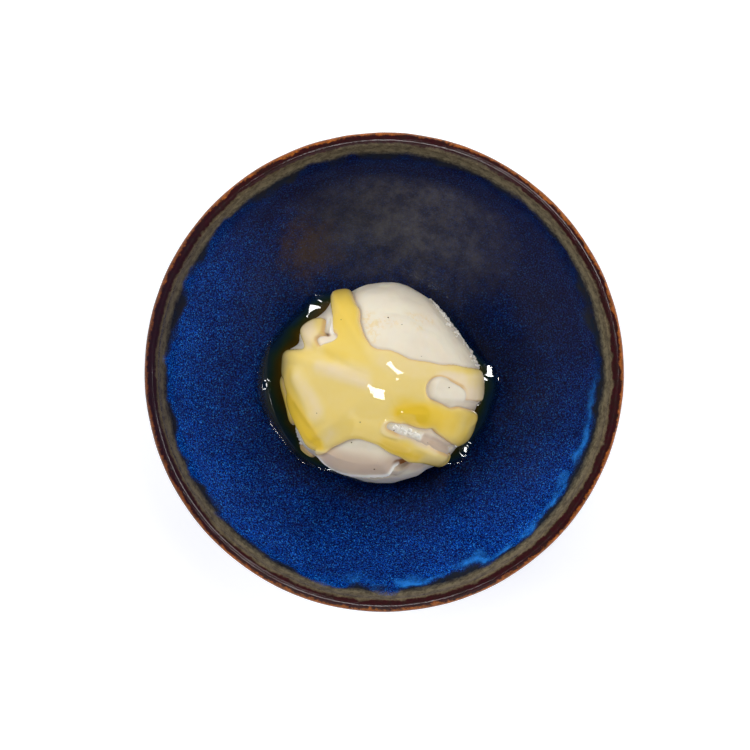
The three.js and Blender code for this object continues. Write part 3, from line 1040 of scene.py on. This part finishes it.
    def marks(self, flat: np.ndarray) -> np.ndarray:
        """Moves laid-flat points to the plane of marks, in which a mark keeps its shape wherever it is.

        Args:
            flat: Rows of points on the dome laid flat.

        Returns:
            Rows of points on the plane of marks.
        """
        reach = np.maximum(np.hypot(flat[:, 0], flat[:, 1]), 1e-9)
        lean = np.minimum(reach / self.radius, self.farthest_lean)
        return flat * (2 * self.radius * np.tan(lean / 2) / reach)[:, None]

    def marks_scale(self, marks: np.ndarray) -> np.ndarray:
        """How much longer than the true one a length is on the plane of marks."""
        return 1 + (marks**2).sum(1) / (2 * self.radius) ** 2

    def plain(self, flat: np.ndarray, bowl: Bowl) -> tuple[np.ndarray, np.ndarray, np.ndarray]:
        """Places laid-flat points on the plain dome.

        Args:
            flat: Rows of points on the dome laid flat, past the foot's edge for the underside.
            bowl: The bowl that the scoop rests in.

        Returns:
            Their places, the directions that stand out of the dome there, and their heights above the floor.
        """
        reach = np.hypot(flat[:, 0], flat[:, 1])
        angle = np.arctan2(flat[:, 1], flat[:, 0])
        lean = np.clip(reach / self.radius, 0, math.pi / 2)
        dome_height = self.height - self.brim_height
        rise = self.brim_height + dome_height * np.cos(lean)
        across = self.radius * np.sin(lean)
        below = reach > self.brim_reach
        drop = np.clip(reach - self.brim_reach, 0, self.brim_height)
        rise = np.where(below, self.brim_height - drop, rise)
        tuck = np.clip(drop / (self.brim_height - self.base_height), 0, 1)
        flank = self.base_radius + (self.radius - self.base_radius) * np.sqrt(1 - tuck**2)
        across = np.where(below, flank, across)
        under = reach > self.foot_reach
        across = np.where(under, self.base_radius - (reach - self.foot_reach), across)
        across *= 1 + around(self.flats, angle) / self.radius
        way = np.column_stack([np.cos(angle), np.sin(angle)])
        points = np.column_stack([way * across[:, None], rise])
        points[:, 0] += self.x
        points[:, 1] += self.y
        height = bowl.inner_height(np.hypot(points[:, 0], points[:, 1]))
        sag = (height - bowl.floor_height) * (1 - smooth_step(rise, 0, self.brim_height))
        points[:, 2] += bowl.floor_height + self.gap + sag
        above = np.maximum(rise - self.brim_height, 0)
        out = np.column_stack([way * (across / self.radius**2)[:, None], above / dome_height**2])
        out /= np.maximum(np.linalg.norm(out, axis=1), 1e-9)[:, None]
        return points, out, rise

    def swell_at(self, flat: np.ndarray) -> np.ndarray:
        """How far the ice cream stands out of the plain dome.

        Args:
            flat: Rows of points on the dome laid flat.

        Returns:
            One height a row, in millimetres.
        """
        total = np.zeros(len(flat))
        marks = self.marks(flat)
        for swell in self.swells.values():
            away = swell.stroke.distance(marks, self)
            edge = np.full(len(flat), swell.edge)
            if swell.crown_edge is not None:
                ends = self.unroll(np.array([swell.stroke.start, swell.stroke.end], float))
                inwards = smooth_step(np.hypot(*ends.T).mean() - np.hypot(flat[:, 0], flat[:, 1]), -3, 3)
                edge += (swell.crown_edge - swell.edge) * inwards
            total += swell.rise * (1 - smooth_step(away / edge, -1, 0))
        return total

    def marked(self, strokes: Sequence[Stroke], flat: np.ndarray, blur: float) -> np.ndarray:
        """How much laid-flat points lie in any of some strokes, from 0 to 1.

        Args:
            strokes: The strokes.
            flat: Rows of points on the dome laid flat.
            blur: Half the width of the strokes' soft edge, in millimetres.

        Returns:
            One share a row.
        """
        marks = self.marks(flat)
        away = np.min([mark.distance(marks, self) for mark in strokes], axis=0)
        return 1 - smooth_step(away, -blur, blur)

    def sauce_at(self, flat: np.ndarray) -> tuple[np.ndarray, np.ndarray]:
        """The sauce at laid-flat points.

        Args:
            flat: Rows of points on the dome laid flat.

        Returns:
            Their distances from the edge of the sauce, negative where there is sauce, and its plain depths.
        """
        marks = self.marks(flat)
        covered = [run.stroke.distance(marks, self) for run in self.runs]
        away = covered[0]
        for next_one in covered[1:]:
            away = smooth_min(away, next_one, self.sauce_blend)
        for mark in self.bare:
            away = -smooth_min(-away, mark.distance(marks, self), self.sauce_blend / 2)
        pull = np.array([np.exp(-np.clip(one, -20, 20) / self.sauce_blend) for one in covered])
        depths = np.array([run.depth for run in self.runs])
        depth = (pull * depths[:, None]).sum(0) / pull.sum(0)
        return away, depth * (1 - self.thin_share * self.marked(self.thin, flat, self.thin_blur))

    def reach_of(self, turn: np.ndarray) -> np.ndarray:
        """Length over the surface, from the crown, for an angle from straight up, in degrees."""
        marks = [0, self.dome_turn, self.flank_turn, 180]
        return np.interp(turn, marks, [0, self.brim_reach, self.foot_reach, self.foot_reach + self.base_radius])

    def ball(self) -> tuple[bpy.types.Object, np.ndarray]:
        """A cube subdivided and rounded to a ball of even squares.

        Returns:
            The ball, and its vertices' places on the scoop laid flat.
        """
        ball = begin(bpy.ops.mesh.primitive_cube_add, size=self.radius * 2 * MM)
        edit(
            ball,
            lambda: bpy.ops.mesh.subdivide(number_cuts=self.cuts),
            lambda: bpy.ops.mesh.subdivide(number_cuts=self.cuts),
            lambda: bpy.ops.transform.tosphere(value=1.0),
        )
        way = places(ball)
        way /= np.linalg.norm(way, axis=1)[:, None]
        turn = np.degrees(np.arccos(np.clip(way[:, 2], -1, 1)))
        level = np.maximum(np.hypot(way[:, 0], way[:, 1]), 1e-9)
        return ball, way[:, :2] * (self.reach_of(turn) / level)[:, None]

    def build_ice_cream(self, bowl: Bowl, finish: bpy.types.Material) -> bpy.types.Object:
        """Shapes the ball of ice cream.

        Args:
            bowl: The bowl that it rests in.
            finish: The ice cream's finish.

        Returns:
            The ball, which stands for the scoop's CAD node with the sauce on it.
        """
        ball, flat = self.ball()
        points, out, rise = self.plain(flat, bowl)
        away, _ = self.sauce_at(flat)
        torn = self.marked(self.torn, flat, self.torn_blur) * smooth_step(away, -0.5, 1.0)
        freckled = self.marked(self.freckled, flat, self.freckled_blur) * self.marked_share
        fade = smooth_step(rise, self.base_height, self.brim_height)
        bare = smooth_step(away, -1.0, 0.5)
        stand = self.swell_at(flat) + grains(points, self.lumps) * bare
        stand += grains(points, self.tearing) * torn * self.tearing_share
        move_to(ball, points + out * (stand * fade)[:, None])
        # painted highlight along the flap's lip, and painted shadow in the gap under it
        lip, gap = self.flap_lip_light_and_shade(flat)
        paint(ball, "torn", np.maximum(torn, freckled))
        paint(ball, "shaded", self.marked(self.shaded, flat, self.shaded_blur) * self.marked_share)
        # painted shade: a brown line in the gap under the flap's lip, and a faint one along the sauce's edge
        stain = np.maximum(gap * self.gap_shade, self.edge_shade * smooth_step(np.abs(away), 0.9, 0.2))
        paint(ball, "browned", np.maximum(self.marked(self.browned, flat, self.browned_and_shade_blur), stain))
        # icy white on the torn places, joined by the painted highlight along the flap's lip
        frosted = self.marked(self.frosted, flat, self.frost_and_highlight_blur) * self.marked_share
        paint(ball, "frosted", np.maximum(frosted, lip))
        return finish_piece(ball, "vanilla_scoop", finish, Slot.ICE_CREAM, Node.SCOOP)

    def flap_lip_light_and_shade(self, flat: np.ndarray) -> tuple[np.ndarray, np.ndarray]:
        """A painted highlight along the lip of the front flap, and a painted shadow in the gap under it, as fine lines.

        Args:
            flat: Rows of points on the dome laid flat.

        Returns:
            How much each point lies on the lip, and in the gap, from 0 to 1.
        """
        away = self.swells["front flap"].stroke.distance(self.marks(flat), self)
        in_front = smooth_step(-flat[:, 1], 27, 30)
        lip = smooth_step(away, -2.6, -1.4) * smooth_step(away, 0.4, 0.0)
        gap = smooth_step(away, 0.6, 1.2) * smooth_step(away, 4.6, 3.4)
        return lip * in_front, gap * in_front

    def sauce_top(self, flat: np.ndarray) -> tuple[np.ndarray, np.ndarray, np.ndarray]:
        """The upper face of the sauce.

        Args:
            flat: Rows of points on the dome laid flat.

        Returns:
            How far it stands out of the plain dome, the depth that its colour shows, and its distance from its edge.
        """
        away, depth = self.sauce_at(flat)
        swell = self.swell_at(flat)
        least = np.minimum(depth, self.sauce_least)
        full = -smooth_min((1 - self.sauce_follow) * swell - depth, -least, 0.5 * np.minimum(depth, 1))
        edge = self.sauce_edge + self.sauce_bead * full
        inwards = np.clip(-away / edge, -9, 1)
        bead = np.sqrt(1 - (1 - np.clip(inwards, 0, 1)) ** self.bead_power)
        rounded = np.where(inwards > 0, bead, 3 * inwards)
        seen = np.clip(-away / (edge * 0.5), 0, 1)
        return swell + full * rounded, full * (1 - (1 - seen) ** 2), away

    def build_sauce(self, bowl: Bowl, finish: bpy.types.Material) -> bpy.types.Object:
        """Shapes the sauce that lies on the ball: its rounded upper face, closed underneath.

        Args:
            bowl: The bowl that the scoop rests in.
            finish: The sauce's finish.

        Returns:
            The blanket of sauce.
        """
        blanket, flat = self.ball()
        points, out, rise = self.plain(flat, bowl)
        stand, depth, away = self.sauce_top(flat)
        fade = smooth_step(rise, self.base_height, self.brim_height)
        move_to(blanket, points + out * (stand * fade)[:, None])
        seen = depth * (1 - self.pale_share * self.marked(self.pale, flat, self.tint_blur))
        seen += self.deep_mm * self.marked(self.deep, flat, self.tint_blur) * np.clip(depth, 0, 1)
        paint(blanket, "depth_mm", seen)
        thin = self.marked(self.thin, flat, self.thin_blur)
        # painted line of refracted light and shade along the sauce's edge, kept off the thinned places
        paint(blanket, "rim_share", smooth_step(away, *self.painted_edge_span) * (1 - thin))
        spare = away > self.sauce_margin
        bpy.ops.object.mode_set(mode="EDIT")
        bpy.ops.mesh.select_mode(type="VERT")
        bpy.ops.mesh.select_all(action="DESELECT")
        bpy.ops.object.mode_set(mode="OBJECT")
        blanket.data.vertices.foreach_set("select", spare)
        bpy.ops.object.mode_set(mode="EDIT")
        bpy.ops.mesh.delete(type="VERT")
        bpy.ops.object.mode_set(mode="OBJECT")
        shell = blanket.modifiers.new("underside", "SOLIDIFY")
        shell.thickness, shell.offset = self.sauce_shell * MM, -1.0
        apply_all(blanket)
        return finish_piece(blanket, "lemon_sauce_blanket", finish, Slot.SAUCE)

    def set_in(
        self,
        bowl: Bowl,
        name: str,
        finish: bpy.types.Material,
        flat: np.ndarray,
        sizes: np.ndarray,
        raggedness: float,
    ) -> bpy.types.Object:
        """Sets small grains in the top of the scoop.

        Args:
            bowl: The bowl that the scoop rests in.
            name: The name of the piece.
            finish: The grains' finish.
            flat: The grains' places on the dome laid flat.
            sizes: Their half lengths, widths and heights in millimetres, in rows.
            raggedness: How uneven they are, as a share of their size.

        Returns:
            The grains, as one piece.
        """
        points, out, _ = self.plain(flat, bowl)
        stand, _, away = self.sauce_top(flat)
        top = np.where(away < 0, stand, self.swell_at(flat))
        seed = begin(bpy.ops.mesh.primitive_ico_sphere_add, subdivisions=2, radius=MM)
        shape = places(seed) / MM
        faces = np.array([tuple(face.vertices) for face in seed.data.polygons])
        bpy.data.objects.remove(seed)
        vertices, polygons = [], []
        for number, (place, way, rise, size) in enumerate(zip(points, out, top, sizes)):
            uneven = 1 + raggedness * grain(shape, 0.8, number * 3.7)
            polygons += (faces + len(vertices) * len(shape)).tolist()
            vertices.append(shape * uneven[:, None] * size + place + way * rise)
        mesh = bpy.data.meshes.new(name)
        mesh.from_pydata(np.concatenate(vertices) * MM, [], polygons)
        grains = bpy.data.objects.new(name, mesh)
        bpy.context.collection.objects.link(grains)
        return finish_piece(grains, name, finish, Slot.ICE_CREAM)

    def build_specks(self, bowl: Bowl, finish: bpy.types.Material) -> bpy.types.Object:
        """Sets specks of vanilla seed in the top of the scoop.

        Args:
            bowl: The bowl that the scoop rests in.
            finish: The seeds' finish.

        Returns:
            The specks, as one piece.
        """
        chance = np.random.default_rng(7)
        count = len(self.specks)
        sizes = self.speck_radius * chance.uniform(0.7, 1.35, (count, 1)) * np.ones((count, 3))
        sizes[:, 1:] *= np.column_stack([chance.uniform(0.6, 1, count), np.full(count, 0.6)])
        return self.set_in(bowl, "vanilla_specks", finish, self.unroll(np.array(self.specks)), sizes, 0.1)

    def build_crumbs(self, bowl: Bowl, finish: bpy.types.Material) -> bpy.types.Object:
        """Strews icy crumbs over the torn places, where the dipper's edge dragged.

        Args:
            bowl: The bowl that the scoop rests in.
            finish: The ice cream's finish.

        Returns:
            The crumbs, as one piece.
        """
        chance = np.random.default_rng(11)
        spots = []
        for mark in self.torn:
            start, end = np.array(mark.start), np.array(mark.end)
            count = int(np.hypot(*(end - start)) * self.crumbs_per_mm)
            share = chance.uniform(0, 1, (count, 1))
            side = chance.normal(0, self.crumb_spread, (count, 2)) * mark.start_radius
            spots.append(start + (end - start) * share + side)
        flat = self.unroll(np.concatenate(spots))
        away, _ = self.sauce_at(flat)
        flat = flat[away > self.crumb_margin]
        sizes = chance.uniform(*self.crumb_radii, (len(flat), 1)) * chance.uniform(0.7, 1.3, (len(flat), 3))
        crumbs = self.set_in(bowl, "torn_ice_crumbs", finish, flat, sizes, 0.5)
        paint(crumbs, "frosted", np.full(len(crumbs.data.vertices), self.crumb_frost))
        return crumbs


# ---- The puddle ----


@dataclass(frozen=True)
class Ripple:
    """A place where the wet surface leans: the middle, its slopes along X and Y, its roundings and its width, in mm."""

    place: Point
    slope: Point
    rounding: Point
    width: float


@dataclass
class Puddle:
    """Sauce and melt that has run into the bowl round the scoop and lies level there, with small ripples."""

    depth: float = 1.7
    reach: float = 31.0
    gap: float = 0.3
    level: float = 4.7
    film: float = 0.4
    steepness: float = 0.5
    ripple_rise: float = 0.35
    runs: tuple[Bump, ...] = (
        Bump(180, 10.2, 42), Bump(127, 3.2, 10), Bump(226, 2.5, 14), Bump(265, 2.0, 25), Bump(316, 5.2, 12),
        Bump(340, 6.0, 16), Bump(2, 6.6, 13),
    )
    to_key: Point = (-0.134, -0.110)
    to_window: Point = (0.019, 0.113)
    round_steps: int = 480
    section_steps: int = 84
    under_share: float = 0.2
    spun_mm: float = 10.0
    edge_wander: float = 0.5
    top_wander: float = 0.06
    wander_mm: float = 9.0

    def __post_init__(self) -> None:
        """Lists the ripples, each of which leans towards a light."""
        self.ripples = (
            Ripple((34.7, 1.1), self.to_window, (20, 58), 3.6),
            Ripple((-22.9, 20.9), self.to_window, (46, 35), 4.4),
            Ripple((26.6, -25.2), self.to_window, (8, 40), 2.2),
            Ripple((-38.0, -4.2), self.to_key, (2.5, 22), 1.6),
            Ripple((30.9, -9.2), self.to_key, (8, 8), 1.0),
            Ripple((-21.5, 25.2), self.to_window, (9, 4), 1.0),
            Ripple((-31.2, -26.6), self.to_window, (5, 6), 0.9),
        )

    def section(self) -> np.ndarray:
        """The ring's section, starting at the top beside the scoop.

        Returns:
            Rows of the share of the way out and the share of the depth.
        """
        top_steps = int(self.section_steps * (1 - self.under_share))
        out = np.linspace(0, 1, top_steps) ** 0.9
        edge = np.sqrt(np.clip(1 - np.clip((out - 0.9) / 0.1, 0, 1) ** 2, 0, 1))
        climb = 0.2 * np.exp(-out / 0.05)
        top = np.column_stack([out, (1 + climb) * edge])
        back = np.linspace(1, 0, self.section_steps - top_steps + 1)[:-1]
        under = np.column_stack([np.minimum(back, 0.985), np.full(len(back), -0.35)])
        return np.concatenate([top, under])

    def build(self, scoop: Scoop, bowl: Bowl, finish: bpy.types.Material) -> bpy.types.Object:
        """Shapes a ring round the scoop's foot.

        Args:
            scoop: The scoop that it lies round.
            bowl: The bowl that it lies in.
            finish: The puddle's finish.

        Returns:
            The puddle, which stands for its CAD node.
        """
        ring = spun((self.section() + [1, 0]) * self.spun_mm, self.round_steps)
        points = places(ring) / MM / self.spun_mm
        share = np.hypot(points[:, 0], points[:, 1]) - 1
        level = points[:, 2]
        angle = np.arctan2(points[:, 1], points[:, 0])
        inner = scoop.base_radius * (1 + around(scoop.flats, angle) / scoop.radius) - 0.4
        outer = self.reach + around(self.runs, angle)
        rounds = np.column_stack([np.cos(angle), np.sin(angle), 0 * angle]) * 40
        outer += self.edge_wander * grain(rounds, self.wander_mm)
        reach = inner + (outer - inner) * share
        x = scoop.x + reach * np.cos(angle)
        y = scoop.y + reach * np.sin(angle)
        floor = bowl.inner_height(np.hypot(x, y)) + self.gap
        still = np.maximum(bowl.floor_height + self.gap + self.level - floor, self.film)
        still = np.minimum(still, self.film + self.steepness * (outer - reach))
        still += self.top_wander * grain(np.column_stack([x, y, 0 * x]), self.wander_mm, 2.0)
        z = floor + np.where(level > 0, level * still, level * self.depth)
        for ripple in self.ripples:
            dx, dy = x - ripple.place[0], y - ripple.place[1]
            away = np.hypot(dx, dy)
            middle = z[level > 0.9][np.argmin(away[level > 0.9])] + self.ripple_rise
            leaning = middle + dx * ripple.slope[0] + dy * ripple.slope[1]
            leaning -= dx**2 / (2 * ripple.rounding[0]) + dy**2 / (2 * ripple.rounding[1])
            weight = np.exp(-((away / ripple.width) ** 6)) * smooth_step(level, 0.5, 0.9)
            z += (np.maximum(leaning, floor + 0.1) - z) * weight
        move_to(ring, np.column_stack([x, y, z]))
        paint(ring, "cover", 1 - share)
        return finish_piece(ring, "sauce_puddle_surface", finish, Slot.SAUCE, Node.PUDDLE)


# ---- The studio ----


@dataclass
class Studio:
    """A white table, a key light high at the back right, low soft lights all round, and a camera straight above.

    A glint of the key, a window and a card at the front show only in reflections.
    """

    frame_px: int = 750
    px_per_mm_at_rim: float = 3.213
    rim_height: float = 45.0
    camera_above_rim: float = 800.0
    bowl_px: Point = (384.2, 372.2)
    sensor_mm: float = 36.0

    def build_floor(self) -> None:
        """Lays the white table."""
        floor = begin(bpy.ops.mesh.primitive_plane_add, size=8.0)
        floor.name = floor.data.name = "white_table"
        floor.data.materials.append(PlainFinish("white_table_top", "#f4f4f4", "#f0f0f0", 0.9, 40, 0.42).build())

    def build_camera(self) -> None:
        """Sets the camera so that the bowl falls where the photograph has it."""
        span = self.frame_px / self.px_per_mm_at_rim
        middle = self.frame_px / 2
        x = (middle - self.bowl_px[0]) / self.px_per_mm_at_rim
        y = (self.bowl_px[1] - middle) / self.px_per_mm_at_rim
        height = self.rim_height + self.camera_above_rim
        bpy.ops.object.camera_add(location=(x * MM, y * MM, height * MM), rotation=(0, 0, 0))
        camera = bpy.context.object
        camera.data.sensor_width = self.sensor_mm
        camera.data.lens = self.sensor_mm * self.camera_above_rim / span
        bpy.context.scene.camera = camera

    def add_light(
        self,
        name: str,
        place: tuple[float, float, float],
        size: Point,
        brightness: float,
        diffuse: bool = True,
        glossy: bool = True,
    ) -> None:
        """Adds an area light that faces the bowl.

        Args:
            name: Its name.
            place: Its place in metres.
            size: Its width and height in metres.
            brightness: Its radiance, where 1 is a white card in full light.
            diffuse: True if it lights matt surfaces.
            glossy: True if it is seen in reflections.
        """
        bpy.ops.object.light_add(type="AREA", location=place)
        lamp = bpy.context.object
        lamp.name = name
        lamp.data.shape = "RECTANGLE"
        lamp.data.size, lamp.data.size_y = size
        lamp.data.energy = brightness * math.pi * size[0] * size[1]
        lamp.rotation_mode = "QUATERNION"
        lamp.rotation_quaternion = Vector(place).to_track_quat("Z", "Y")
        lamp.visible_diffuse, lamp.visible_glossy = diffuse, glossy

    def build_lights(self) -> None:
        """Sets the lights and the pale surround."""
        self.add_light("key", (0.26, 0.364, 1.22), (0.42, 0.26), 3.5, glossy=False)
        self.add_light("key_glint", (0.33, 0.27, 1.2), (0.36, 0.2), 26.0, diffuse=False)
        self.add_light("window", (-0.05, -0.29, 1.27), (0.27, 0.22), 30.0, diffuse=False)
        self.add_light("back_light", (0.35, 1.1, 0.55), (1.4, 0.9), 2.4, glossy=False)
        self.add_light("left_light", (-1.2, 0.25, 0.58), (0.9, 0.8), 6.8, glossy=False)
        self.add_light("right_light", (1.2, 0.0, 0.55), (0.9, 0.8), 3.8, glossy=False)
        self.add_light("low_front_light", (0.35, -1.1, 0.5), (1.0, 0.7), 2.6, glossy=False)
        self.add_light("front_card", (0.0, -0.85, 0.55), (1.2, 0.9), 1.4, diffuse=False)
        world = bpy.data.worlds.new("studio")
        world.use_nodes = True
        background = world.node_tree.nodes["Background"]
        background.inputs["Color"].default_value = linear("#ffffff")
        background.inputs["Strength"].default_value = 0.1
        bpy.context.scene.world = world
        world.cycles_visibility.glossy = False
        bpy.context.scene.view_settings.view_transform = "Standard"


def main() -> None:
    """Builds the studio and every piece, in order."""
    logging.basicConfig(level=logging.INFO, format="%(relativeCreated)d ms %(name)s %(message)s")
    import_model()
    studio = Studio()
    studio.build_camera()
    studio.build_floor()
    studio.build_lights()
    bowl = Bowl()
    bowl.build(StonewareGlaze().build())
    scoop = Scoop()
    ice_cream = VanillaIceCream().build()
    scoop.build_ice_cream(bowl, ice_cream)
    scoop.build_crumbs(bowl, VanillaIceCream(name="torn_ice", softness=0.0).build())
    scoop.build_sauce(bowl, LemonSauce().build())
    scoop.build_specks(bowl, PlainFinish("vanilla_seed", "#3a2c18", "#5a4526").build())
    Puddle().build(scoop, bowl, PooledSauce().build())


if __name__ == "__main__":
    main()
